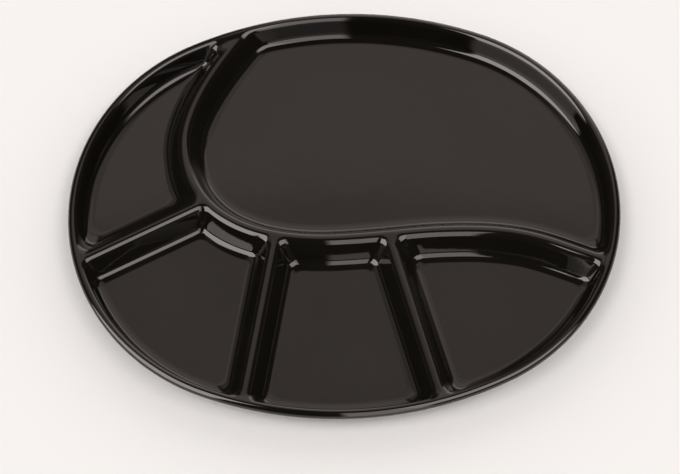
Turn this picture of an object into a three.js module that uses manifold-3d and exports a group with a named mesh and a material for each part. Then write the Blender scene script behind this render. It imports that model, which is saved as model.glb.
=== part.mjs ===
// Fondue plate: an oval stoneware plate with five compartments, a black glaze fired onto its clay body
// and a bare foot ring that it stands on.
// Millimetres and degrees, +Z up. The long axis lies along X, the diner sits towards -Y,
// and the origin is on the table under the middle of the plate.

import * as THREE from "three";
import Module from "manifold-3d";

const wasm = await Module();
wasm.setup();

// The whole plate
const plateLength = 280;
const plateWidth = 225;
const plateHeight = 22;
const endTuck = 7;
const rimRise = 0.5;
const riseReach = 3.5;
const glazeThickness = 0.4;

// Underside, foot ring and outer wall
const footHeight = 2.5;
const footWidth = 4;
const footInset = 30;
const footDraft = 12;
const footEdge = 0.7;
const footRoot = 2;
const baseThickness = 6;
const heelRadius = 8;
const outerLean = 60;
const beadRadius = 2.7;

// Walls of the compartments: slope, rounding and flat half of the crest, on the rim's and the dividers' sides.
// Each fillet ends in a wider round, the ease, which starts at the floor and turns up to easeAngle.
const rimFlat = 0.1;
const rimSlope = 78;
const rimCrestRadius = 2.2;
const rimFillet = 3.4;
const dividerFlat = 0.2;
const dividerSlope = 64;
const dividerCrestRadius = 3.5;
const dividerFillet = 3.6;
const easeRadius = 11;
const easeAngle = 18;

// Corners of the compartments, seen from above: the far left one of the large compartment, the tip of the crescent
// at its crest and at its floor, and all others
const largeCornerRadius = 12;
const tipCornerRadius = 4.2;
const tipFloorRadius = 1.2;
const cornerRadius = 5;

// Long divider: it leaves the far rim, sweeps round the left end of the large compartment
// and crosses the plate in a shallow wave to the right rim. A pull is the length of a Bezier handle.
const longStartBearing = 112.6;
const longStartHeading = 230;
const longStartPull = 22.2;
const longWestFromLeft = 59.7;
const longWestFromFar = 73.3;
const longWestPullFar = 23.4;
const longWestPullNear = 42;
const longTroughX = -5;
const longTroughFromFront = 95.7;
const longTroughPullLeft = 39;
const longTroughPullRight = 21.8;
const longWaveX = 47.1;
const longWaveRise = 1.9;
const longWavePullLeft = 15;
const longWavePullRight = 49.3;
const longEndBearing = -15.3;
const longEndHeading = -19.7;
const longEndPull = 33.4;

// Short dividers: how far along the long divider each one leaves it, and its heading to the rim
const leftDividerAlong = 112.4;
const leftDividerHeading = 204.7;
const frontLeftDividerAlong = 153.7;
const frontLeftDividerHeading = 257.6;
const frontRightDividerAlong = 210.8;
const frontRightDividerHeading = 283.5;

// Fineness of the facets
const ovalSteps = 64;
const wallStep = 9;
const cornerSteps = 4;
const easeSteps = 1;
const filletSteps = 2;
const crestSteps = 2;
const beadSteps = 4;
const heelSteps = 2;
const traceSteps = 360;

// Heights and lengths that follow from the dimensions
const undersideZ = footHeight;
const floorZ = undersideZ + baseThickness;
const crestZ = plateHeight - rimRise;
const halfLength = plateLength / 2;
const halfWidth = plateWidth / 2;
const rimCrestInset = beadRadius + rimFlat;
const overshoot = 1;
const leadLength = 25;
const closeEnough = 1e-9;

// Four-centre oval: two end arcs and two side arcs that meet on a common tangent
const endRadius = halfWidth - endTuck;
const endCentreX = halfLength - endRadius;
const sideCentreY = (endCentreX ** 2 - endTuck ** 2) / (2 * endTuck);
const sideRadius = halfWidth + sideCentreY;
const jointAngle = Math.atan2(sideCentreY, endCentreX);

const radians = THREE.MathUtils.degToRad;
const shareUpWall = (z) => THREE.MathUtils.clamp((z - floorZ) / (crestZ - floorZ), 0, 1);
const heading = (degrees) => new THREE.Vector2(Math.cos(radians(degrees)), Math.sin(radians(degrees)));

function ovalCurve() {
  const oval = new THREE.CurvePath();
  const arc = (x, y, radius, from, to) => oval.add(new THREE.EllipseCurve(x, y, radius, radius, from, to, false, 0));
  arc(endCentreX, 0, endRadius, -jointAngle, jointAngle);
  arc(0, -sideCentreY, sideRadius, jointAngle, Math.PI - jointAngle);
  arc(-endCentreX, 0, endRadius, Math.PI - jointAngle, Math.PI + jointAngle);
  arc(0, sideCentreY, sideRadius, Math.PI + jointAngle, 2 * Math.PI - jointAngle);
  return oval;
}

// How far a point lies inside the plate's outermost edge, seen from above
function insetOf(x, y) {
  const ax = Math.abs(x);
  const ay = Math.abs(y);
  const onEnd = ay * endCentreX <= (ax - endCentreX) * sideCentreY;
  return onEnd
    ? endRadius - Math.hypot(ax - endCentreX, ay)
    : sideRadius - Math.hypot(ax, ay + sideCentreY);
}

// The point of the outermost edge that is seen from the middle of the plate at a bearing
function rimPoint(bearing) {
  const ray = heading(bearing);
  let inside = 0;
  let outside = plateLength + plateWidth;
  while (outside - inside > closeEnough) {
    const middle = (inside + outside) / 2;
    if (insetOf(ray.x * middle, ray.y * middle) > 0) {
      inside = middle;
    } else {
      outside = middle;
    }
  }
  return ray.multiplyScalar(inside);
}

// Centre line of the long divider, with a straight lead past the rim at each end
function longDividerCurve() {
  const start = rimPoint(longStartBearing);
  const west = new THREE.Vector2(longWestFromLeft - halfLength, halfWidth - longWestFromFar);
  const trough = new THREE.Vector2(longTroughX, longTroughFromFront - halfWidth);
  const wave = new THREE.Vector2(longWaveX, trough.y + longWaveRise);
  const end = rimPoint(longEndBearing);
  const startAway = heading(longStartHeading);
  const endAway = heading(longEndHeading);
  const south = heading(-90);
  const east = heading(0);
  const from = (knot, direction, distance) => knot.clone().addScaledVector(direction, distance);
  const path = new THREE.CurvePath();
  const bend = (a, aHandle, bHandle, b) => path.add(new THREE.CubicBezierCurve(a, aHandle, bHandle, b));
  path.add(new THREE.LineCurve(from(start, startAway, -leadLength), start));
  bend(start, from(start, startAway, longStartPull), from(west, south, -longWestPullFar), west);
  bend(west, from(west, south, longWestPullNear), from(trough, east, -longTroughPullLeft), trough);
  bend(trough, from(trough, east, longTroughPullRight), from(wave, east, -longWavePullLeft), wave);
  bend(wave, from(wave, east, longWavePullRight), from(end, endAway, -longEndPull), end);
  path.add(new THREE.LineCurve(end, from(end, endAway, leadLength)));
  return path;
}

// Centre line of a short divider, from behind the long one out past the rim
function shortDividerCurve(along, degrees) {
  const longLine = longDividerCurve();
  const anchor = longLine.getPointAt((leadLength + along) / longLine.getLength());
  const away = heading(degrees);
  const reach = plateLength + plateWidth;
  return new THREE.LineCurve(
    anchor.clone().addScaledVector(away, -leadLength),
    anchor.clone().addScaledVector(away, reach),
  );
}

// Stations of a curve: evenly spaced points, each with the direction that points to the right of the travel
function stationsOf(curve, count) {
  const stations = [];
  for (let i = 0; i <= count; i += 1) {
    const point = curve.getPointAt(i / count);
    const tangent = curve.getTangentAt(i / count);
    stations.push({ x: point.x, y: point.y, nx: tangent.y, ny: -tangent.x });
  }
  return stations;
}

// The same stations travelled the other way, with the other side on the right
function reversed(stations) {
  return stations.map((s) => ({ x: s.x, y: s.y, nx: -s.nx, ny: -s.ny })).reverse();
}

// A station moved to the left of the travel
function setBack(station, distance) {
  return { ...station, x: station.x - distance * station.nx, y: station.y - distance * station.ny };
}

// The station at a fractional place, where a closed run of stations may be passed once round
function stationAt(stations, place) {
  const last = stations.length - 1;
  const wrapped = place > last ? place - last : place;
  const i = Math.min(Math.floor(wrapped), last - 1);
  const t = wrapped - i;
  const mix = (key) => THREE.MathUtils.lerp(stations[i][key], stations[i + 1][key], t);
  const length = Math.hypot(mix("nx"), mix("ny"));
  return { x: mix("x"), y: mix("y"), nx: mix("nx") / length, ny: mix("ny") / length };
}

// Where two runs of stations cross: the fractional place on each
function crossings(first, second) {
  const found = [];
  for (let i = 0; i + 1 < first.length; i += 1) {
    const a = first[i];
    const rx = first[i + 1].x - a.x;
    const ry = first[i + 1].y - a.y;
    for (let j = 0; j + 1 < second.length; j += 1) {
      const c = second[j];
      const sx = second[j + 1].x - c.x;
      const sy = second[j + 1].y - c.y;
      const cross = rx * sy - ry * sx;
      const along = ((c.x - a.x) * sy - (c.y - a.y) * sx) / cross;
      const across = ((c.x - a.x) * ry - (c.y - a.y) * rx) / cross;
      if (along >= 0 && along < 1 && across >= 0 && across < 1) {
        found.push({ onFirst: i + along, onSecond: j + across });
      }
    }
  }
  return found;
}

// The walls of each compartment in order, anticlockwise from above, each with the compartment on its left
// and the radii, at the crest and at the floor, of the corner that it runs into
const into = (wall, crestCorner, floorCorner) => ({ ...wall, crestCorner, floorCorner });
const plainCorner = (stations, isRim) => into({ stations, isRim }, cornerRadius, cornerRadius);
const rim = plainCorner(stationsOf(ovalCurve(), traceSteps), true);
const ahead = (curve) => plainCorner(stationsOf(curve, traceSteps), false);
const back = (wall) => ({ ...wall, stations: reversed(wall.stations) });
const long = ahead(longDividerCurve());
const left = ahead(shortDividerCurve(leftDividerAlong, leftDividerHeading));
const frontLeft = ahead(shortDividerCurve(frontLeftDividerAlong, frontLeftDividerHeading));
const frontRight = ahead(shortDividerCurve(frontRightDividerAlong, frontRightDividerHeading));
const compartments = [
  [into(rim, largeCornerRadius, largeCornerRadius), long],
  [rim, back(left), into(back(long), tipCornerRadius, tipFloorRadius)],
  [rim, back(frontLeft), back(long), left],
  [rim, back(frontRight), back(long), frontLeft],
  [rim, back(long), frontRight],
];

// The walls of a compartment at set distances from the plate's edge and the dividers' centre lines, each cut
// where a corner begins. The middle of a corner is where its two walls cross when both are moved in by the radius
// that it has at that height.
function trimmedWalls(walls, rimDistance, dividerDistance, height) {
  const movedIn = ({ stations, isRim }, radius) => {
    const distance = radius + (isRim ? rimDistance : dividerDistance);
    return stations.map((station) => setBack(station, distance));
  };
  const corners = walls.map((wall, i) => {
    const radius = THREE.MathUtils.lerp(wall.floorCorner, wall.crestCorner, shareUpWall(height));
    const next = movedIn(walls[(i + 1) % walls.length], radius);
    const found = crossings(movedIn(wall, radius), next);
    found.sort((a, b) => (wall.isRim ? a.onSecond - b.onSecond : b.onFirst - a.onFirst));
    return { ...found[0], radius, middle: stationAt(next, found[0].onSecond) };
  });
  return walls.map((wall, i) => {
    const from = corners[(i + walls.length - 1) % walls.length].onSecond;
    const lap = wall.isRim && corners[i].onFirst < from ? traceSteps : 0;
    return {
      line: movedIn(wall, 0),
      from,
      to: corners[i].onFirst + lap,
      corner: corners[i],
      rimShare: wall.isRim ? 1 : 0,
    };
  });
}

// One level of a compartment: along its walls, and round each corner while the direction swings to the next wall
function compartmentRing(walls, stepCounts, onRim, onDivider) {
  const runs = trimmedWalls(walls, onRim.x, onDivider.x, onDivider.y);
  const ring = [];
  const place = (x, y, rimShare) => {
    ring.push(new THREE.Vector3(x, y, THREE.MathUtils.lerp(onDivider.y, onRim.y, rimShare)));
  };
  runs.forEach(({ line, from, to, corner, rimShare }, i) => {
    for (let k = 0; k <= stepCounts[i]; k += 1) {
      const { x, y } = stationAt(line, THREE.MathUtils.lerp(from, to, k / stepCounts[i]));
      place(x, y, rimShare);
    }
    const next = runs[(i + 1) % runs.length];
    const last = stationAt(line, to);
    const first = stationAt(next.line, next.from);
    const swing = Math.atan2(last.nx * first.ny - last.ny * first.nx, last.nx * first.nx + last.ny * first.ny);
    const begin = Math.atan2(last.ny, last.nx);
    for (let k = 1; k < cornerSteps; k += 1) {
      const angle = begin + (swing * k) / cornerSteps;
      place(
        corner.middle.x + corner.radius * Math.cos(angle),
        corner.middle.y + corner.radius * Math.sin(angle),
        THREE.MathUtils.lerp(rimShare, next.rimShare, k / cornerSteps),
      );
    }
  });
  return ring;
}

// Section of a wall at a depth under the finished surface: distances from its centre line, and heights.
// It starts at the flat floor, and its last chord runs on past the crest, to break out of the blank.
function wallSection(crestDistance, slope, crestRadius, fillet, depth) {
  const steepest = radians(slope);
  const eased = radians(easeAngle);
  const crestCentre = new THREE.Vector2(crestDistance, crestZ - crestRadius);
  const easeShift = new THREE.Vector2(Math.sin(eased), Math.cos(eased)).multiplyScalar(easeRadius - fillet);
  const filletCentreZ = floorZ + easeRadius - easeShift.y;
  const straightRise = crestCentre.y - filletCentreZ + (crestRadius + fillet) * Math.cos(steepest);
  const filletCentre = new THREE.Vector2(
    crestDistance + (crestRadius + fillet) * Math.sin(steepest) + straightRise / Math.tan(steepest),
    filletCentreZ,
  );
  const easeCentre = filletCentre.clone().add(easeShift);
  const points = [];
  const round = (centre, radius, from, to, steps, first) => {
    for (let i = first; i <= steps; i += 1) {
      const angle = THREE.MathUtils.lerp(from, to, i / steps);
      points.push(new THREE.Vector2(centre.x + radius * Math.sin(angle), centre.y + radius * Math.cos(angle)));
    }
  };
  round(easeCentre, -easeRadius - depth, 0, eased, easeSteps, 0);
  round(filletCentre, -fillet - depth, eased, steepest, filletSteps, 1);
  round(crestCentre, crestRadius - depth, steepest, 0, crestSteps, 0);
  const crest = points.pop();
  const before = points[points.length - 1];
  points.push(before.clone().lerp(crest, (overshoot + crest.y - before.y) / (crest.y - before.y)));
  return points;
}

// The solid that a compartment takes out of the blank
function hollow(walls, depth) {
  const rimSection = wallSection(rimCrestInset, rimSlope, rimCrestRadius, rimFillet, depth);
  const dividerSection = wallSection(dividerFlat, dividerSlope, dividerCrestRadius, dividerFillet, depth);
  const stepCounts = trimmedWalls(walls, rimCrestInset, dividerFlat, crestZ).map(({ line, from, to }) => {
    const spacing = Math.hypot(line[1].x - line[0].x, line[1].y - line[0].y);
    return Math.max(1, Math.round(((to - from) * spacing) / wallStep));
  });
  return loft(dividerSection.map((onDivider, row) => compartmentRing(walls, stepCounts, rimSection[row], onDivider)));
}

function solidOf(positions, index) {
  return new wasm.Manifold(new wasm.Mesh({
    numProp: 3,
    vertProperties: new Float32Array(positions),
    triVerts: new Uint32Array(index),
  }));
}

// A solid through rings of points, from the lowest to the highest, closed by a cap at each end
function loft(rings) {
  const around = rings[0].length;
  const positions = rings.flat().flatMap((p) => [p.x, p.y, p.z]);
  const index = [];
  for (let row = 0; row + 1 < rings.length; row += 1) {
    for (let i = 0; i < around; i += 1) {
      const a = row * around + i;
      const b = row * around + ((i + 1) % around);
      index.push(a, b, b + around, a, b + around, a + around);
    }
  }
  const cap = (row) => THREE.ShapeUtils.triangulateShape(rings[row].map((p) => new THREE.Vector2(p.x, p.y)), []);
  const top = (rings.length - 1) * around;
  cap(0).forEach(([a, b, c]) => index.push(a, c, b));
  cap(rings.length - 1).forEach(([a, b, c]) => index.push(top + a, top + b, top + c));
  return solidOf(positions, index);
}

// A solid whose section, given as insets from the plate's edge and heights, is carried round the oval
const ovalStations = stationsOf(ovalCurve(), ovalSteps).slice(0, ovalSteps);
function carriedRound(section) {
  return loft(section.map(([inset, z]) => ovalStations.map((station) => {
    const { x, y } = setBack(station, inset);
    return new THREE.Vector3(x, y, z);
  })));
}

// The blank before its compartments are sunk: flat underside, round heel, leaning outer wall and round bead
function blank(depth) {
  const lean = radians(outerLean);
  const beadCentreZ = crestZ - beadRadius;
  const heelCentreZ = undersideZ + heelRadius;
  const rise = beadCentreZ - heelCentreZ;
  const heelInset = beadRadius + (rise * Math.cos(lean) - beadRadius + heelRadius) / Math.sin(lean);
  const section = [];
  for (let i = 0; i <= heelSteps; i += 1) {
    const angle = (lean * i) / heelSteps;
    const radius = heelRadius - depth;
    section.push([heelInset - radius * Math.sin(angle), heelCentreZ - radius * Math.cos(angle)]);
  }
  for (let i = 0; i <= beadSteps; i += 1) {
    const angle = lean + ((Math.PI - lean) * i) / beadSteps;
    const radius = beadRadius - depth;
    section.push([beadRadius - radius * Math.sin(angle), beadCentreZ - radius * Math.cos(angle)]);
  }
  return carriedRound(section);
}

// The rim is drawn up above the dividers: the lift is full at the bead and eases out over riseReach
function drawnUp(solid) {
  const { vertProperties, triVerts } = solid.getMesh();
  const positions = Array.from(vertProperties);
  for (let k = 0; k < positions.length; k += 3) {
    const inset = insetOf(positions[k], positions[k + 1]);
    const nearRim = 1 - THREE.MathUtils.smoothstep(inset, beadRadius, beadRadius + riseReach);
    positions[k + 2] += rimRise * nearRim * shareUpWall(positions[k + 2]);
  }
  return solidOf(positions, triVerts);
}

// The plate without its foot, at a depth under the finished surface
function plateAt(depth) {
  const plate = compartments.reduce((solid, walls) => solid.subtract(hollow(walls, depth)), blank(depth));
  return drawnUp(plate);
}

// Foot ring: a band with leaning flanks and eased edges, rooted in the base
function footRing() {
  const top = undersideZ + glazeThickness + footRoot;
  const spread = Math.tan(radians(footDraft));
  const outer = carriedRound([
    [footInset + footEdge, 0],
    [footInset - footEdge * spread, footEdge],
    [footInset - top * spread, top],
  ]);
  const innerInset = footInset + footWidth;
  const inner = carriedRound([
    [innerInset - footEdge - overshoot, -overshoot],
    [innerInset + footEdge * spread, footEdge],
    [innerInset + (top + overshoot) * spread, top + overshoot],
  ]);
  return outer.subtract(inner);
}

// Room inside the foot ring, up past the glaze of the underside
function footWell() {
  const midFoot = footInset + footWidth / 2;
  return carriedRound([[midFoot, -overshoot], [midFoot, undersideZ + glazeThickness + footRoot / 2]]);
}

const clayBody = plateAt(glazeThickness).add(footRing());
const allGlaze = plateAt(0).subtract(clayBody);
const glazeCoat = allGlaze.subtract(footWell());
const footWellGlaze = allGlaze.intersect(footWell());

const clay = new THREE.MeshStandardMaterial({ color: 0xb7a68c, roughness: 0.85, metalness: 0 });
const glaze = new THREE.MeshStandardMaterial({ color: 0x050505, roughness: 0.06, metalness: 0 });

function piece(name, solid, material) {
  const { vertProperties, triVerts } = solid.getMesh();
  const geometry = new THREE.BufferGeometry();
  geometry.setAttribute("position", new THREE.BufferAttribute(vertProperties, 3));
  geometry.setIndex(new THREE.BufferAttribute(triVerts, 1));
  geometry.computeVertexNormals();
  const mesh = new THREE.Mesh(geometry, material);
  mesh.name = name;
  return mesh;
}

const fonduePlate = new THREE.Group();
fonduePlate.add(
  piece("clay_body", clayBody, clay),
  piece("glaze_coat", glazeCoat, glaze),
  piece("foot_well_glaze", footWellGlaze, glaze),
);

export default fonduePlate;
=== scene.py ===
# %% [markdown]
# # A black-glazed fondue plate
# The real plate is one piece of pressed stoneware with a black gloss glaze fired onto it. Five sunk
# compartments share the top, an S-shaped divider and three straight ones stand between them, and the plate
# stands on a foot ring that was wiped bare before firing. Three pieces can be told apart, and this lesson
# models each of them: the glaze over the plate, the patch of glaze inside the foot ring and the clay body.

# %% Load the frame
import math

import bmesh
import bpy
import numpy as np
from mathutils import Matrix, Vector
from mathutils.geometry import interpolate_bezier


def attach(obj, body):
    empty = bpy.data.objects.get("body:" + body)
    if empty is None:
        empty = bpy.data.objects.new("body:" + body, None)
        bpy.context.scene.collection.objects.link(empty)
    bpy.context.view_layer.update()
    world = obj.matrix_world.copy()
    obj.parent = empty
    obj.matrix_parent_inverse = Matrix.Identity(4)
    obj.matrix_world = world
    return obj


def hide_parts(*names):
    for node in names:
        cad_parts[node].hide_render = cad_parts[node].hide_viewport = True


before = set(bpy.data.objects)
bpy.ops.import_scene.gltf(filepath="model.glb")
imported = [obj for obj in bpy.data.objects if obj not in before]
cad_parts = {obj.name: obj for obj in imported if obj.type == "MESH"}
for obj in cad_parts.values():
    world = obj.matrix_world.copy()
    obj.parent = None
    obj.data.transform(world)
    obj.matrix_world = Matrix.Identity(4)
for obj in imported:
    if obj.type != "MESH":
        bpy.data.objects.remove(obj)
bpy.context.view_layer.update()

# %% [markdown]
# ## Camera
# The plate was seen from the diner's side, about two thirds of the way up to straight above it, through a
# long lens that shows little perspective. A long lens could be faked by scaling the plate, but a real
# distance and a real focal length keep every other view true as well.

# %% Camera at the photograph's viewing angle
VIEW_AZIMUTH = math.radians(-2.79)
VIEW_ELEVATION = math.radians(66.04)
VIEW_DISTANCE = 1.2
VIEW_AIM = Vector((-0.0026, -0.00695, 0.0))
LENS_MM = 123.8
SENSOR_MM = 36.0

towards_camera = Vector((
    math.sin(VIEW_AZIMUTH) * math.cos(VIEW_ELEVATION),
    -math.cos(VIEW_AZIMUTH) * math.cos(VIEW_ELEVATION),
    math.sin(VIEW_ELEVATION),
))
camera_data = bpy.data.cameras.new("camera")
camera_data.lens = LENS_MM
camera_data.sensor_width = SENSOR_MM
camera = bpy.data.objects.new("camera", camera_data)
camera.location = VIEW_AIM + VIEW_DISTANCE * towards_camera
camera.rotation_euler = (-towards_camera).to_track_quat("-Z", "Y").to_euler()
bpy.context.scene.collection.objects.link(camera)
bpy.context.scene.camera = camera
print("camera at", [round(v, 3) for v in camera.location])

# %% [markdown]
# ## Sizes
# A mould maker draws such a plate from a few sizes, and so does this script. They are the sizes of the CAD
# part, in metres, so that each piece lies exactly where its CAD solid lies.

# %% Sizes of the plate, in metres
MM = 0.001
PLATE_LENGTH = 280 * MM
PLATE_WIDTH = 225 * MM
PLATE_HEIGHT = 22 * MM
END_TUCK = 7 * MM
RIM_RISE = 0.5 * MM
RISE_REACH = 3.5 * MM
GLAZE_THICKNESS = 0.4 * MM

FOOT_HEIGHT = 2.5 * MM
FOOT_WIDTH = 4 * MM
FOOT_INSET = 30 * MM
FOOT_DRAFT = math.radians(12)
FOOT_EDGE = 0.7 * MM
BASE_THICKNESS = 6 * MM
HEEL_RADIUS = 8 * MM
OUTER_LEAN = math.radians(60)
BEAD_RADIUS = 2.7 * MM

UNDERSIDE_Z = FOOT_HEIGHT
FLOOR_Z = UNDERSIDE_Z + BASE_THICKNESS
CREST_Z = PLATE_HEIGHT - RIM_RISE
WALL_RISE = CREST_Z - FLOOR_Z
print("compartments are", round(1000 * WALL_RISE, 1), "mm deep at the dividers")

# %% [markdown]
# ## The oval outline
# The outline is a four-centre oval, as a draughtsman draws it with compasses: two end arcs and two side arcs
# that meet on a common tangent. An ellipse would also do, but arcs have a great help for a potter's shape:
# a line drawn parallel to them is made of arcs about the same centres, so each level of the wall is exact.
# Each station on the line is a point with the direction that points outwards.

# %% Stations of the oval
TRACE_STEP = 0.25 * MM

half_length = PLATE_LENGTH / 2
half_width = PLATE_WIDTH / 2
end_radius = half_width - END_TUCK
end_centre_x = half_length - end_radius
side_centre_y = (end_centre_x ** 2 - END_TUCK ** 2) / (2 * END_TUCK)
side_radius = half_width + side_centre_y
joint_angle = math.atan2(side_centre_y, end_centre_x)


def arc_stations(centre_x, centre_y, radius, start, stop, step):
    """Points of an arc with their outward directions, without the last point."""
    count = round(radius * (stop - start) / step)
    angles = np.linspace(start, stop, count, endpoint=False)
    out = np.column_stack([np.cos(angles), np.sin(angles)])
    return np.column_stack([np.array([centre_x, centre_y]) + radius * out, out])


def oval_stations(step):
    """The oval's stations, anticlockwise from above, with the first one repeated at the end."""
    arcs = [
        arc_stations(end_centre_x, 0, end_radius, -joint_angle, joint_angle, step),
        arc_stations(0, -side_centre_y, side_radius, joint_angle, math.pi - joint_angle, step),
        arc_stations(-end_centre_x, 0, end_radius, math.pi - joint_angle, math.pi + joint_angle, step),
        arc_stations(0, side_centre_y, side_radius, math.pi + joint_angle, 2 * math.pi - joint_angle, step),
    ]
    around = np.concatenate(arcs)
    return np.concatenate([around, around[:1]])


def inset_of(x, y):
    """How far a point lies inside the plate's outermost edge, seen from above."""
    ax, ay = abs(x), abs(y)
    if ay * end_centre_x <= (ax - end_centre_x) * side_centre_y:
        return end_radius - math.hypot(ax - end_centre_x, ay)
    return side_radius - math.hypot(ax, ay + side_centre_y)


rim_line = oval_stations(TRACE_STEP)
print("the rim is traced by", len(rim_line), "stations")

# %% [markdown]
# ## The dividers' centre lines
# The long divider leaves the far rim, sweeps round the left end of the large compartment and crosses the
# plate in a shallow wave. A spline through many points would wobble in the gloss, so it is four Bezier
# stretches, each set by two knots and the pull of their handles. The three short dividers are straight lines
# that leave it at set distances and run out to the rim.

# %% Centre lines of the dividers
LEAD = 25 * MM
BEZIER_STEPS = 800

LONG_START_BEARING = math.radians(112.6)
LONG_START_HEADING = math.radians(230)
LONG_START_PULL = 22.2 * MM
LONG_WEST_FROM_LEFT = 59.7 * MM
LONG_WEST_FROM_FAR = 73.3 * MM
LONG_WEST_PULL_FAR = 23.4 * MM
LONG_WEST_PULL_NEAR = 42 * MM
LONG_TROUGH_X = -5 * MM
LONG_TROUGH_FROM_FRONT = 95.7 * MM
LONG_TROUGH_PULL_LEFT = 39 * MM
LONG_TROUGH_PULL_RIGHT = 21.8 * MM
LONG_WAVE_X = 47.1 * MM
LONG_WAVE_RISE = 1.9 * MM
LONG_WAVE_PULL_LEFT = 15 * MM
LONG_WAVE_PULL_RIGHT = 49.3 * MM
LONG_END_BEARING = math.radians(-15.3)
LONG_END_HEADING = math.radians(-19.7)
LONG_END_PULL = 33.4 * MM
SHORT_DIVIDERS = {
    "left": (112.4 * MM, math.radians(204.7)),
    "front_left": (153.7 * MM, math.radians(257.6)),
    "front_right": (210.8 * MM, math.radians(283.5)),
}


def heading(angle):
    return Vector((math.cos(angle), math.sin(angle), 0))


def rim_point(bearing):
    """The point of the plate's edge that is seen from its middle at a bearing."""
    bearings = np.unwrap(np.arctan2(rim_line[:, 1], rim_line[:, 0]))
    turned = bearing + 2 * math.pi * math.ceil((bearings[0] - bearing) / (2 * math.pi))
    return Vector((*(np.interp(turned, bearings, rim_line[:, k]) for k in (0, 1)), 0))


def even_line(points):
    """Evenly spaced stations along a chain of points, each with the direction to the right of the travel."""
    chain = np.array(points)[:, :2]
    along = np.concatenate([[0], np.cumsum(np.linalg.norm(np.diff(chain, axis=0), axis=1))])
    marks = np.linspace(0, along[-1], round(along[-1] / TRACE_STEP) + 1)
    even = np.column_stack([np.interp(marks, along, chain[:, k]) for k in (0, 1)])
    tangent = np.gradient(even, axis=0)
    tangent /= np.linalg.norm(tangent, axis=1, keepdims=True)
    return np.column_stack([even, tangent[:, 1], -tangent[:, 0]])


def long_divider_line():
    start, end = rim_point(LONG_START_BEARING), rim_point(LONG_END_BEARING)
    start_away, end_away = heading(LONG_START_HEADING), heading(LONG_END_HEADING)
    west = Vector((LONG_WEST_FROM_LEFT - half_length, half_width - LONG_WEST_FROM_FAR, 0))
    trough = Vector((LONG_TROUGH_X, LONG_TROUGH_FROM_FRONT - half_width, 0))
    wave = Vector((LONG_WAVE_X, trough.y + LONG_WAVE_RISE, 0))
    south, east = heading(-math.pi / 2), heading(0)
    stretches = [
        (start, start + LONG_START_PULL * start_away, west - LONG_WEST_PULL_FAR * south, west),
        (west, west + LONG_WEST_PULL_NEAR * south, trough - LONG_TROUGH_PULL_LEFT * east, trough),
        (trough, trough + LONG_TROUGH_PULL_RIGHT * east, wave - LONG_WAVE_PULL_LEFT * east, wave),
        (wave, wave + LONG_WAVE_PULL_RIGHT * east, end - LONG_END_PULL * end_away, end),
    ]
    chain = [start - LEAD * start_away]
    for stretch in stretches:
        chain += interpolate_bezier(*stretch, BEZIER_STEPS)[:-1]
    return even_line(chain + [end, end + LEAD * end_away])


def short_divider_line(along, angle):
    place = (LEAD + along) / TRACE_STEP
    marks = np.arange(len(long_line))
    anchor = Vector((*(np.interp(place, marks, long_line[:, k]) for k in (0, 1)), 0))
    return even_line([anchor - LEAD * heading(angle), anchor + PLATE_LENGTH * heading(angle)])


long_line = long_divider_line()
short_lines = {name: short_divider_line(*facts) for name, facts in SHORT_DIVIDERS.items()}
print("the long divider is traced by", len(long_line), "stations")

# %% [markdown]
# ## The compartments' outlines
# Each compartment is bounded by the rim and by the dividers, in order round it. A wall at some distance from
# its centre line is a parallel line, and two such lines meet in a corner. Rounding the corners afterwards
# with a bevel would fail, because the wall's rows are closer together than the corner is wide. So the round
# is worked out on every level: set both lines back by its radius, and where they cross is its middle. The
# walls stop square to that point, and the direction swings round it from one wall to the next. A corner has
# one radius at the crest and one at the floor, because the crescent's tip narrows on its way down.

# %% Walls of the compartments, anticlockwise from above
SEARCH_SKIP = 12
#              at the crest, at the floor
LARGE_CORNER = (12 * MM, 12 * MM)
TIP_CORNER = (4.2 * MM, 1.2 * MM)
CORNER = (5 * MM, 5 * MM)


def rim_wall(corner=CORNER):
    """A wall is its line, whether it is the rim, and the radii of the corner that it runs into."""
    return (rim_line, True, corner)


def ahead(line):
    return (line, False, CORNER)


def back(line, corner=CORNER):
    return (np.column_stack([line[::-1, :2], -line[::-1, 2:]]), False, corner)


left_line, front_left_line, front_right_line = short_lines.values()
COMPARTMENTS = {
    "large": [rim_wall(LARGE_CORNER), ahead(long_line)],
    "crescent": [rim_wall(), back(left_line), back(long_line, TIP_CORNER)],
    "left": [rim_wall(), back(front_left_line), back(long_line), ahead(left_line)],
    "front": [rim_wall(), back(front_right_line), back(long_line), ahead(front_left_line)],
    "right": [rim_wall(), back(long_line), ahead(front_right_line)],
}


def crossings(first, second):
    """Where two lines cross: the places along each of them, counted in stations."""
    a, r = first[:-1, None, :2], np.diff(first[:, :2], axis=0)[:, None]
    c, s = second[None, :-1, :2], np.diff(second[:, :2], axis=0)[None]
    gap = c - a
    with np.errstate(divide="ignore", invalid="ignore"):
        turn = r[..., 0] * s[..., 1] - r[..., 1] * s[..., 0]
        u = (gap[..., 0] * s[..., 1] - gap[..., 1] * s[..., 0]) / turn
        v = (gap[..., 0] * r[..., 1] - gap[..., 1] * r[..., 0]) / turn
    i, j = np.nonzero((u >= 0) & (u < 1) & (v >= 0) & (v < 1))
    return i + u[i, j], j + v[i, j]


def corner_of(first, second, first_is_rim):
    """The corner between two walls: found on every few stations, and then closely near there."""
    on_first, on_second = crossings(first[::SEARCH_SKIP], second[::SEARCH_SKIP])
    pick = np.argmin(on_second) if first_is_rim else np.argmax(on_first)
    i = max(0, int(on_first[pick]) - 1) * SEARCH_SKIP
    j = max(0, int(on_second[pick]) - 1) * SEARCH_SKIP
    near = 3 * SEARCH_SKIP + 1
    on_first, on_second = crossings(first[i:i + near], second[j:j + near])
    return i + on_first[0], j + on_second[0]


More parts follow.
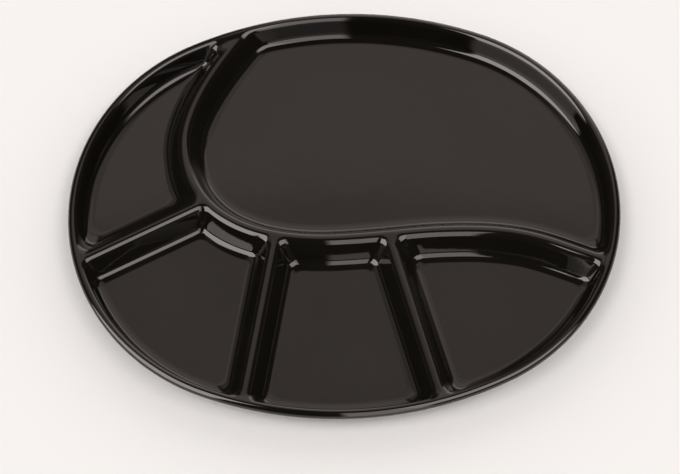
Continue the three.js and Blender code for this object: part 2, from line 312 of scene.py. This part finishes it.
def stations_at(line, places):
    """Stations between the given ones; a closed line may be passed once round."""
    marks = np.arange(len(line))
    wrapped = np.mod(places, len(line) - 1)
    found = np.column_stack([np.interp(wrapped, marks, line[:, k]) for k in range(4)])
    found[:, 2:] /= np.linalg.norm(found[:, 2:], axis=1, keepdims=True)
    return found


def moved_in(line, distance):
    return np.column_stack([line[:, :2] - distance * line[:, 2:], line[:, 2:]])


def corner_radius(corner, height):
    """A corner's radius at a height: it changes evenly from the floor to the crest."""
    share = min(max((height - FLOOR_Z) / WALL_RISE, 0), 1)
    return corner[1] + share * (corner[0] - corner[1])


def trimmed_walls(walls, rim_distance, divider_distance, height):
    """The walls at set distances, cut at the corners: line, first and last place, corner's middle."""
    distances = [rim_distance if is_rim else divider_distance for _, is_rim, _ in walls]
    corners = []
    for i, (line, is_rim, corner) in enumerate(walls):
        after = (i + 1) % len(walls)
        radius = corner_radius(corner, height)
        next_line = moved_in(walls[after][0], distances[after] + radius)
        on_line, on_next = corner_of(moved_in(line, distances[i] + radius), next_line, is_rim)
        corners.append((on_line, on_next, stations_at(next_line, [on_next])[0, :2]))
    runs = []
    for i, (line, is_rim, _) in enumerate(walls):
        first, last = corners[i - 1][1], corners[i][0]
        lap = len(line) - 1 if is_rim and last < first else 0
        runs.append((moved_in(line, distances[i]), first, last + lap, corners[i][2]))
    return runs


def compartment_ring(walls, counts, corner_steps, on_rim, on_divider):
    """One level of a compartment's wall as points; on_rim and on_divider are (distance, height)."""
    runs = trimmed_walls(walls, on_rim[0], on_divider[0], on_divider[1])
    heights = [on_rim[1] if is_rim else on_divider[1] for _, is_rim, _ in walls]
    ring = []
    for i, (line, first, last, middle) in enumerate(runs):
        after = (i + 1) % len(runs)
        run = stations_at(line, np.linspace(first, last, counts[i] + 1))
        ring += [(s[0], s[1], heights[i]) for s in run]
        beyond = stations_at(runs[after][0], [runs[after][1]])[0]
        begin = math.atan2(run[-1][3], run[-1][2])
        swing = math.remainder(math.atan2(beyond[3], beyond[2]) - begin, 2 * math.pi)
        radius = corner_radius(walls[i][2], on_divider[1])
        for step in range(1, corner_steps):
            share = step / corner_steps
            angle = begin + swing * share
            height = heights[i] + share * (heights[after] - heights[i])
            ring.append((middle[0] + radius * math.cos(angle), middle[1] + radius * math.sin(angle), height))
    return ring


print("compartments:", ", ".join(COMPARTMENTS))

# %% [markdown]
# ## Sections
# Walls of pressed ware have no sharp edges: a small round at the crest, a steep straight draft, a fillet and
# a wider round, the ease, in which the fillet runs out on the floor. One fillet alone would leave a hard line
# in the gloss where the flat floor ends. A section is a short list of distances from the wall's centre line
# and heights, worked out from those radii and slopes. The same function gives the finished surface and the
# clay under the glaze: moving down by a depth makes a crest round smaller and a floor round larger.

# %% Sections of the walls and of the outside
RIM_FLAT = 0.1 * MM
RIM_WALL = dict(flat=BEAD_RADIUS + RIM_FLAT, slope=math.radians(78), crest=2.2 * MM, fillet=3.4 * MM)
DIVIDER_WALL = dict(flat=0.2 * MM, slope=math.radians(64), crest=3.5 * MM, fillet=3.6 * MM)
EASE_RADIUS = 11 * MM
EASE_ANGLE = math.radians(18)


def round_of(centre, radius, start, stop, steps):
    """Points on an arc, by the tilt of the surface; a radius below 0 makes a hollow round."""
    tilts = np.linspace(start, stop, steps + 1)
    return [(centre[0] + radius * math.sin(t), centre[1] + radius * math.cos(t)) for t in tilts]


def wall_section(flat, slope, crest, fillet, depth, steps):
    """From the crest down to the floor."""
    crest_centre = (flat, CREST_Z - crest)
    shift = ((EASE_RADIUS - fillet) * math.sin(EASE_ANGLE), (EASE_RADIUS - fillet) * math.cos(EASE_ANGLE))
    fillet_z = FLOOR_Z + EASE_RADIUS - shift[1]
    straight = crest_centre[1] - fillet_z + (crest + fillet) * math.cos(slope)
    fillet_centre = (flat + (crest + fillet) * math.sin(slope) + straight / math.tan(slope), fillet_z)
    ease_centre = (fillet_centre[0] + shift[0], fillet_centre[1] + shift[1])
    top = round_of(crest_centre, crest - depth, 0, slope, steps)
    turn = round_of(fillet_centre, -fillet - depth, slope, EASE_ANGLE, steps)
    ease = round_of(ease_centre, -EASE_RADIUS - depth, EASE_ANGLE, 0, max(2, steps // 2))
    return top + turn + ease[1:]


def outer_section(depth, steps):
    """From the top of the rim's bead over its outside, down the leaning wall and round the heel."""
    bead_z = CREST_Z - BEAD_RADIUS
    heel_z = UNDERSIDE_Z + HEEL_RADIUS
    drop = (bead_z - heel_z) * math.cos(OUTER_LEAN)
    heel_inset = BEAD_RADIUS + (drop - BEAD_RADIUS + HEEL_RADIUS) / math.sin(OUTER_LEAN)
    bead = BEAD_RADIUS - depth
    heel = HEEL_RADIUS - depth
    turns = [math.pi + (OUTER_LEAN - math.pi) * i / (2 * steps) for i in range(2 * steps + 1)]
    over = [(BEAD_RADIUS - bead * math.sin(t), bead_z - bead * math.cos(t)) for t in turns]
    tilts = [OUTER_LEAN * (1 - i / steps) for i in range(steps + 1)]
    under = [(heel_inset - heel * math.sin(t), heel_z - heel * math.cos(t)) for t in tilts]
    return over + under


def foot_flank(inset, z, side):
    """The inset of the foot's leaning flank at a height; side is -1 outside the ring and 1 inside."""
    return inset + side * z * math.tan(FOOT_DRAFT)


print("divider section has", len(wall_section(**DIVIDER_WALL, depth=0, steps=12)), "levels")

# %% [markdown]
# ## Rings that grow by extrusion
# Every surface here starts as one closed ring of edges. Extruding the ring makes a band of faces, and the
# new edge is then moved to the next level of the section. It is what a modeller does by hand with extrude
# and scale, and it keeps the rows of faces along the walls, so that reflections run smoothly along them.

# %% Helpers that grow rings
LIFT_PER_RISE = RIM_RISE / WALL_RISE
MERGE_DISTANCE = 0.001 * MM
SHARP_ANGLE = math.radians(40)


def ring_edges(ring):
    pairs = zip(ring, ring[1:] + ring[:1])
    return [edge for a, b in pairs for edge in a.link_edges if edge.other_vert(a) == b]


def new_ring(bm, points):
    ring = [bm.verts.new(p) for p in points]
    for a, b in zip(ring, ring[1:] + ring[:1]):
        bm.edges.new((a, b))
    return ring


def grown_ring(bm, ring, points):
    """Extrudes a ring of edges and moves the new ring to the given points."""
    made = bmesh.ops.extrude_edge_only(bm, edges=ring_edges(ring))["geom"]
    new_verts = {item for item in made if isinstance(item, bmesh.types.BMVert)}
    grown = [next(e.other_vert(v) for e in v.link_edges if e.other_vert(v) in new_verts) for v in ring]
    for vert, point in zip(grown, points):
        vert.co = point
    return grown


def oval_ring(stations, inset, z):
    return [(s[0] - inset * s[2], s[1] - inset * s[3], z) for s in stations]


def swept_round(bm, stations, ring, section):
    """Carries a section of insets and heights round the oval, on from an existing ring."""
    for inset, z in section:
        ring = grown_ring(bm, ring, oval_ring(stations, inset, z))
    return ring


def flat_face(bm, ring, margin):
    """Closes a ring with a flat face that has a narrow flat border, so that its middle shades flat."""
    face = bmesh.ops.contextual_create(bm, geom=ring_edges(ring))["faces"]
    bmesh.ops.inset_region(bm, faces=face, thickness=margin, use_even_offset=True)


def drawn_up(bm):
    """The rim stands above the dividers: the lift is full at the bead and eases out inwards."""
    for vert in bm.verts:
        inward = (inset_of(vert.co.x, vert.co.y) - BEAD_RADIUS) / RISE_REACH
        inward = min(max(inward, 0), 1)
        near_rim = 1 - inward * inward * (3 - 2 * inward)
        up_wall = min(max(vert.co.z - FLOOR_Z, 0), WALL_RISE)
        vert.co.z += LIFT_PER_RISE * near_rim * up_wall


def finished_piece(bm, name):
    """Makes an object of a bmesh: doubles merged, faces outwards, smooth apart from sharp edges."""
    bmesh.ops.remove_doubles(bm, verts=bm.verts, dist=MERGE_DISTANCE)
    bmesh.ops.recalc_face_normals(bm, faces=bm.faces)
    for face in bm.faces:
        face.smooth = True
    for edge in bm.edges:
        edge.smooth = len(edge.link_faces) == 2 and edge.calc_face_angle() < SHARP_ANGLE
    mesh = bpy.data.meshes.new(name)
    bm.to_mesh(mesh)
    open_edges = sum(len(edge.link_faces) != 2 for edge in bm.edges)
    bm.free()
    piece = bpy.data.objects.new(name, mesh)
    bpy.context.scene.collection.objects.link(piece)
    triangles = sum(len(polygon.vertices) - 2 for polygon in mesh.polygons)
    print(name, "has", triangles, "triangles and", open_edges, "open edges")
    return piece


print("the rim is drawn up", round(1000 * RIM_RISE, 2), "mm above the dividers")

# %% [markdown]
# ## The top of the plate
# The compartments are grown downwards from their crest outlines, one level at a time, and each is closed by
# its flat floor. What is left between the crest outlines and the bead of the rim is the narrow land on top of
# the dividers. Triangle fill closes it with the five outlines as holes; its long edges are then split, so
# that it can bend when the rim is drawn up at the end.

# %% Compartments and the land between them
FINE = dict(spacing=2 * MM, steps=12, corner_steps=9)
COARSE = dict(spacing=5 * MM, steps=5, corner_steps=5)
FLAT_MARGIN = 0.4 * MM
LAND_EDGE = 1.2 * MM
LAND_PASSES = 3
LAND = 1


def compartment(bm, walls, depth, fineness):
    """Grows one compartment and returns its crest ring."""
    rim_section = wall_section(**RIM_WALL, depth=depth, steps=fineness["steps"])
    divider_section = wall_section(**DIVIDER_WALL, depth=depth, steps=fineness["steps"])
    crest_runs = trimmed_walls(walls, RIM_WALL["flat"], DIVIDER_WALL["flat"], CREST_Z)
    lengths = [(last - first) * TRACE_STEP for _, first, last, _ in crest_runs]
    counts = [max(2, round(length / fineness["spacing"])) for length in lengths]
    crest_ring = ring = None
    for on_rim, on_divider in zip(rim_section, divider_section):
        points = compartment_ring(walls, counts, fineness["corner_steps"], on_rim, on_divider)
        if ring is None:
            crest_ring = ring = new_ring(bm, points)
        else:
            ring = grown_ring(bm, ring, points)
    flat_face(bm, ring, FLAT_MARGIN)
    return crest_ring


def plate_top(bm, bead_ring, depth, fineness):
    """Everything inside the top of the bead: compartments, floors and the land on the dividers."""
    border = ring_edges(bead_ring)
    for walls in COMPARTMENTS.values():
        border += ring_edges(compartment(bm, walls, depth, fineness))
    for item in bmesh.ops.triangle_fill(bm, edges=border, use_beauty=True)["geom"]:
        if isinstance(item, bmesh.types.BMFace):
            item.material_index = LAND


def split_land(bm):
    """Splits the long edges on the land until it can bend; made last, because it renews all of the mesh."""
    for _ in range(LAND_PASSES):
        long_edges = [
            edge for edge in bm.edges
            if edge.calc_length() > LAND_EDGE and all(face.material_index == LAND for face in edge.link_faces)
        ]
        bmesh.ops.subdivide_edges(bm, edges=long_edges, cuts=1)
        bmesh.ops.triangulate(bm, faces=[face for face in bm.faces if face.material_index == LAND])
    for face in bm.faces:
        face.material_index = 0


for side, fineness in (("outside", FINE), ("inside", COARSE)):
    print("wall columns on the", side, "are", round(1000 * fineness["spacing"], 1), "mm apart")

# %% [markdown]
# ## The glaze
# On the real plate the glaze is a coat less than half a millimetre thick. A bare surface would look the same
# from above, but a coat with two sides and a closed edge at the foot is a true solid. So one section runs
# from the bead over the outside and in under the plate to the foot, turns up along the foot, and comes back
# on the side that touches the clay. The top is then made twice, once for each side.

# %% Glaze coat of the whole plate
glaze_bm = bmesh.new()
outside = oval_stations(FINE["spacing"])[:-1]
glaze_z = UNDERSIDE_Z + GLAZE_THICKNESS
first, *outer = outer_section(0, FINE["steps"])
bead_top = new_ring(glaze_bm, oval_ring(outside, *first))
glaze_edge = [(foot_flank(FOOT_INSET, z, -1), z) for z in (UNDERSIDE_Z, glaze_z)]
inner = outer_section(GLAZE_THICKNESS, COARSE["steps"])[::-1]
bead_under = swept_round(glaze_bm, outside, bead_top, outer + glaze_edge + inner)
plate_top(glaze_bm, bead_top, 0, FINE)
plate_top(glaze_bm, bead_under, GLAZE_THICKNESS, COARSE)
split_land(glaze_bm)
drawn_up(glaze_bm)
glaze_coat = finished_piece(glaze_bm, "plate_glaze")

# %% [markdown]
# ## The clay body and the patch of glaze inside the foot
# Under the glaze is the clay, which shows only at the foot ring. The foot's section is drawn with square
# corners and the two lower edges are then bevelled, as a potter eases them with a wet sponge. The patch of
# glaze inside the ring is a thin flat disc, whose edge follows the foot's inner flank.

# %% Clay body with its foot ring
EDGE_SEGMENTS = 4

clay_bm = bmesh.new()
first, *outer = outer_section(GLAZE_THICKNESS, COARSE["steps"])
bead_top = new_ring(clay_bm, oval_ring(outside, *first))
foot_top = swept_round(clay_bm, outside, bead_top, outer + [(foot_flank(FOOT_INSET, glaze_z, -1), glaze_z)])
foot_outer = swept_round(clay_bm, outside, foot_top, [(FOOT_INSET, 0)])
foot_inner = swept_round(clay_bm, outside, foot_outer, [(FOOT_INSET + FOOT_WIDTH, 0)])
well_edge = (foot_flank(FOOT_INSET + FOOT_WIDTH, glaze_z, 1), glaze_z)
flat_face(clay_bm, swept_round(clay_bm, outside, foot_inner, [well_edge]), FLAT_MARGIN)
bmesh.ops.bevel(
    clay_bm, geom=ring_edges(foot_outer) + ring_edges(foot_inner), offset=FOOT_EDGE, offset_type="OFFSET",
    affect="EDGES", segments=EDGE_SEGMENTS, profile=0.5, material=-1,
)
plate_top(clay_bm, bead_top, GLAZE_THICKNESS, COARSE)
split_land(clay_bm)
drawn_up(clay_bm)
clay_body = finished_piece(clay_bm, "stoneware_body")

# %% Patch of glaze inside the foot ring
well_bm = bmesh.new()
upper = new_ring(well_bm, oval_ring(outside, *well_edge))
well_low = (foot_flank(FOOT_INSET + FOOT_WIDTH, UNDERSIDE_Z, 1), UNDERSIDE_Z)
lower = swept_round(well_bm, outside, upper, [well_low])
flat_face(well_bm, upper, FLAT_MARGIN)
flat_face(well_bm, lower, FLAT_MARGIN)
foot_well_glaze = finished_piece(well_bm, "foot_well_patch")

# %% [markdown]
# ## The black glaze
# A gloss glaze is glass: nearly all that is seen of it is what it mirrors, and the black under it only shows
# where it mirrors something dark. A coat over a rough base would do, but one smooth shader is enough, as no
# rough layer shows through. What makes it ceramic and not plastic is small: the melt lies in faint waves, the
# gloss is a little uneven, and the black varies towards brown where the coat is thinner.

# %% Helpers for finishes
bpy.context.scene.view_settings.view_transform = "Standard"


def add_node(tree, kind, **settings):
    node = tree.nodes.new(kind)
    for name, value in settings.items():
        setattr(node, name, value)
    return node


def new_finish(name):
    """A new node material: the material, its tree, its Object coordinates and its shader."""
    finish = bpy.data.materials.new(name)
    finish.use_nodes = True
    tree = finish.node_tree
    tree.nodes.clear()
    shader = add_node(tree, "ShaderNodeBsdfPrincipled")
    output = add_node(tree, "ShaderNodeOutputMaterial")
    tree.links.new(shader.outputs["BSDF"], output.inputs["Surface"])
    place = add_node(tree, "ShaderNodeTexCoord").outputs["Object"]
    return finish, tree, place, shader


def noise(tree, place, size, detail, roughness=0.5):
    """A cloudy pattern whose patches are about as wide as the given size in metres."""
    node = add_node(tree, "ShaderNodeTexNoise")
    node.inputs["Scale"].default_value = 1 / size
    node.inputs["Detail"].default_value = detail
    node.inputs["Roughness"].default_value = roughness
    tree.links.new(place, node.inputs["Vector"])
    return node.outputs["Fac"]


def spread(tree, value, low, high, to_low, to_high):
    """Stretches the part of a pattern between low and high over another range."""
    node = add_node(tree, "ShaderNodeMapRange")
    for socket, number in zip(("From Min", "From Max", "To Min", "To Max"), (low, high, to_low, to_high)):
        node.inputs[socket].default_value = number
    tree.links.new(value, node.inputs["Value"])
    return node.outputs["Result"]


def blend_of(tree, share, first, second):
    """A colour between two colours."""
    node = add_node(tree, "ShaderNodeMix", data_type="RGBA")
    node.inputs["A"].default_value = (*first, 1)
    node.inputs["B"].default_value = (*second, 1)
    tree.links.new(share, node.inputs["Factor"])
    return node.outputs["Result"]


def relief(tree, height, depth, shader):
    """Bump on a shader; depth is the real depth in metres."""
    node = add_node(tree, "ShaderNodeBump")
    node.inputs["Strength"].default_value = 1.0
    node.inputs["Distance"].default_value = depth
    tree.links.new(height, node.inputs["Height"])
    tree.links.new(node.outputs["Normal"], shader.inputs["Normal"])


print("colours are shown by the", bpy.context.scene.view_settings.view_transform, "view")

# %% Black gloss glaze
def black_glaze():
    finish, tree, place, shader = new_finish("black_gloss_glaze")
    pooling = spread(tree, noise(tree, place, 45 * MM, 3), 0.35, 0.65, 0, 1)
    tone = blend_of(tree, pooling, (0.0072, 0.0060, 0.0046), (0.0090, 0.0076, 0.0058))
    tree.links.new(tone, shader.inputs["Base Color"])
    gloss = spread(tree, noise(tree, place, 12 * MM, 4, 0.6), 0.3, 0.7, 0.020, 0.045)
    tree.links.new(gloss, shader.inputs["Roughness"])
    shader.inputs["IOR"].default_value = 1.5
    relief(tree, noise(tree, place, 9 * MM, 2), 0.012 * MM, shader)
    return finish


glaze_finish = black_glaze()
for piece in (glaze_coat, foot_well_glaze):
    piece.data.materials.clear()
    piece.data.materials.append(glaze_finish)
print(glaze_finish.name, "has", len(glaze_finish.node_tree.nodes), "nodes")

# %% [markdown]
# ## The bare stoneware
# The foot ring is wiped clean so that it does not stick to the kiln shelf. Fired stoneware is matt and sandy:
# a buff colour that clouds a little, with dark specks of iron and a fine grain that can be felt.

# %% Bare stoneware
def bare_stoneware():
    finish, tree, place, shader = new_finish("bare_stoneware")
    cloud = spread(tree, noise(tree, place, 30 * MM, 4), 0.3, 0.7, 0, 1)
    buff = blend_of(tree, cloud, (0.46, 0.37, 0.27), (0.60, 0.51, 0.40))
    specks = spread(tree, noise(tree, place, 1.6 * MM, 2), 0.68, 0.74, 0, 1)
    speckled = add_node(tree, "ShaderNodeMix", data_type="RGBA")
    speckled.inputs["B"].default_value = (0.10, 0.06, 0.04, 1)
    tree.links.new(buff, speckled.inputs["A"])
    tree.links.new(specks, speckled.inputs["Factor"])
    tree.links.new(speckled.outputs["Result"], shader.inputs["Base Color"])
    grain = noise(tree, place, 0.7 * MM, 5, 0.65)
    tree.links.new(spread(tree, grain, 0.3, 0.7, 0.78, 0.95), shader.inputs["Roughness"])
    relief(tree, grain, 0.15 * MM, shader)
    return finish


clay_finish = bare_stoneware()
clay_body.data.materials.clear()
clay_body.data.materials.append(clay_finish)
print(clay_finish.name, "has", len(clay_finish.node_tree.nodes), "nodes")

# %% [markdown]
# ## The table
# The plate stands on a pale sheet of paper. A wide disc is enough: its far edge lies below the horizon in any
# view, and it catches the soft shadow under the rim.

# %% Pale floor
FLOOR_RADIUS = 8.0
FLOOR_SIDES = 96

floor_bm = bmesh.new()
bmesh.ops.create_circle(floor_bm, cap_ends=True, segments=FLOOR_SIDES, radius=FLOOR_RADIUS)
floor_mesh = bpy.data.meshes.new("pale_table")
floor_bm.to_mesh(floor_mesh)
floor_bm.free()
floor = bpy.data.objects.new("pale_table", floor_mesh)
bpy.context.scene.collection.objects.link(floor)

paper, _, _, paper_shader = new_finish("pale_paper")
paper_shader.inputs["Base Color"].default_value = (0.945, 0.915, 0.905, 1)
paper_shader.inputs["Roughness"].default_value = 0.9
paper_shader.inputs["Specular IOR Level"].default_value = 0.1
floor_mesh.materials.append(paper)
print("table of", 2 * FLOOR_RADIUS, "m across")

# %% [markdown]
# ## The light
# A black mirror shows the whole room, so the room is drawn on the world's sphere: soft panels at set bearings
# and heights. Bearing 0 is beyond the plate, and 90 degrees is to its right. Two softboxes stand left and
# right of the diner, a wall beyond the plate is lit on its right, and a scrim leans over it. Overhead the
# room is dark, which is why the walls of the compartments look black. The pale ground below the horizon shows
# only where the table is taken away. Lamps for all of that would leave their own hot spots on the paper, so
# only the glaze mirrors the room. The paper is lit by the upper edges of the two softboxes and by grey walls,
# at a plain level, and so its shadow lies close to the plate and spreads towards the diner.

# %% Soft panels that the glaze mirrors
#        bearing, half width, lowest, highest, soft edge (degrees), brightness
ROOM = {
    "ground": (0, 184, -95, -1, 2, 0.9),
    "scrim": (0, 40, 57, 66, 2, 0.92),
    "upper_scrim": (10, 50, 57, 72, 3, 0.70),
    "left_scrim": (-55, 45, 46, 71, 6, 0.42),
    "lit_wall": (22, 26, -10, 58, 4, 1.15),
    "bright_wall": (22, 26, -10, 34, 8, 2.1),
    "left_softbox": (-122, 28, 8, 71, 1.5, 6.5),
    "right_softbox": (137, 29, 28, 75, 3, 4.5),
    "right_wing": (103, 9, 54, 75, 2, 4.0),
    "diner_side": (171.5, 9.5, 0, 74, 1.5, 2.8),
}
TABLE_LIGHT = {
    "ground": (0, 184, -95, -1, 2, 0.9),
    "left_lamp": (-120, 30, 60, 75, 4, 8.6),
    "right_lamp": (135, 45, 60, 75, 4, 6.8),
    "walls": (0, 120, 0, 60, 6, 0.75),
    "diner_wall": (180, 60, 0, 60, 6, 0.27),
}

studio = bpy.data.worlds.new("studio")
studio.use_nodes = True
sky = studio.node_tree
sky.nodes.clear()
bpy.context.scene.world = studio


def reckon(operation, *values):
    """A Math node; each value is a number or a socket."""
    node = add_node(sky, "ShaderNodeMath", operation=operation)
    for socket, value in zip(node.inputs, values):
        if isinstance(value, bpy.types.NodeSocket):
            sky.links.new(value, socket)
        else:
            socket.default_value = value
    return node.outputs["Value"]


def soft_step(value, none_at, full_at, full=1.0):
    """0 at one value and full at another, with a smooth change between them."""
    node = add_node(sky, "ShaderNodeMapRange", interpolation_type="SMOOTHSTEP")
    node.inputs["From Min"].default_value = none_at
    node.inputs["From Max"].default_value = full_at
    node.inputs["To Max"].default_value = full
    sky.links.new(value, node.inputs["Value"])
    return node.outputs["Result"]


direction = add_node(sky, "ShaderNodeSeparateXYZ")
sky.links.new(add_node(sky, "ShaderNodeTexCoord").outputs["Generated"], direction.inputs["Vector"])
bearing = reckon("ARCTAN2", direction.outputs["X"], direction.outputs["Y"])
height = reckon("ARCSINE", direction.outputs["Z"])


def soft_panel(centre, half_width, lowest, highest, edge, brightness):
    centre, half_width, lowest, highest, edge = map(math.radians, (centre, half_width, lowest, highest, edge))
    aside = reckon("ABSOLUTE", reckon("WRAP", reckon("SUBTRACT", bearing, centre), math.pi, -math.pi))
    across = soft_step(aside, half_width + edge, half_width - edge, brightness)
    above = soft_step(height, lowest - edge, lowest + edge)
    below = soft_step(height, highest + edge, highest - edge)
    return reckon("MULTIPLY", across, reckon("MULTIPLY", above, below))


def brightest(panels):
    """The brightest panel in each direction."""
    level = 0.0
    for facts in panels.values():
        level = reckon("MAXIMUM", level, soft_panel(*facts))
    return level


room, table_light = brightest(ROOM), brightest(TABLE_LIGHT)
print("room with", len(ROOM), "panels, table under", len(TABLE_LIGHT))

# %% [markdown]
# ## Which ray sees what
# Light Path tells the rays apart. Glossy rays leave the glaze and see the room, camera rays see a flat pale
# background, and all others, which light the paper, see the table's own light. In the room the dim walls are
# warm and the lamps nearly white. A tint on the glaze would colour both alike, and then the stripes turn
# brown before the floors are warm enough. So the colour follows a panel's brightness.

# %% Brightness and colour of the world for each ray
BACKGROUND = 0.92
PAPER_LIGHT = (1.0, 0.985, 0.97)
WALL_COLOUR = (1.0, 0.846, 0.778)
LAMP_COLOUR = (1.0, 0.91, 0.875)
BRIGHTEST_WALL = 1.0
FAINTEST_LAMP = 2.6


def chosen(share, otherwise, value):
    """One of two brightnesses: value where share is 1."""
    node = add_node(sky, "ShaderNodeMix", data_type="FLOAT")
    for socket, source in zip(("Factor", "A", "B"), (share, otherwise, value)):
        if isinstance(source, bpy.types.NodeSocket):
            sky.links.new(source, node.inputs[socket])
        else:
            node.inputs[socket].default_value = source
    return node.outputs["Result"]


ray = add_node(sky, "ShaderNodeLightPath").outputs
light = chosen(ray["Is Glossy Ray"], chosen(ray["Is Camera Ray"], table_light, BACKGROUND), room)
lamp_share = soft_step(room, BRIGHTEST_WALL, FAINTEST_LAMP)
colour = add_node(sky, "ShaderNodeMix", data_type="RGBA")
colour.inputs["A"].default_value = (*PAPER_LIGHT, 1)
sky.links.new(blend_of(sky, lamp_share, WALL_COLOUR, LAMP_COLOUR), colour.inputs["B"])
sky.links.new(ray["Is Glossy Ray"], colour.inputs["Factor"])
background = add_node(sky, "ShaderNodeBackground")
sky.links.new(colour.outputs["Result"], background.inputs["Color"])
sky.links.new(light, background.inputs["Strength"])
sky.links.new(background.outputs["Background"], add_node(sky, "ShaderNodeOutputWorld").inputs["Surface"])
print("world of", len(sky.nodes), "nodes")

# %% [markdown]
# ## Back to the frame
# The plate is one stiff body, so all three pieces ride on it. Each takes the place of the CAD solid that has
# its form.

# %% Each piece stands for its CAD solid and rides on the plate's one body
for piece, node, slot in (
    (glaze_coat, "glaze_coat", "glaze"),
    (foot_well_glaze, "foot_well_glaze", "glaze"),
    (clay_body, "clay_body", "clay"),
):
    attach(piece, "root")
    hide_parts(node)
    print(piece.name, "stands for", node)
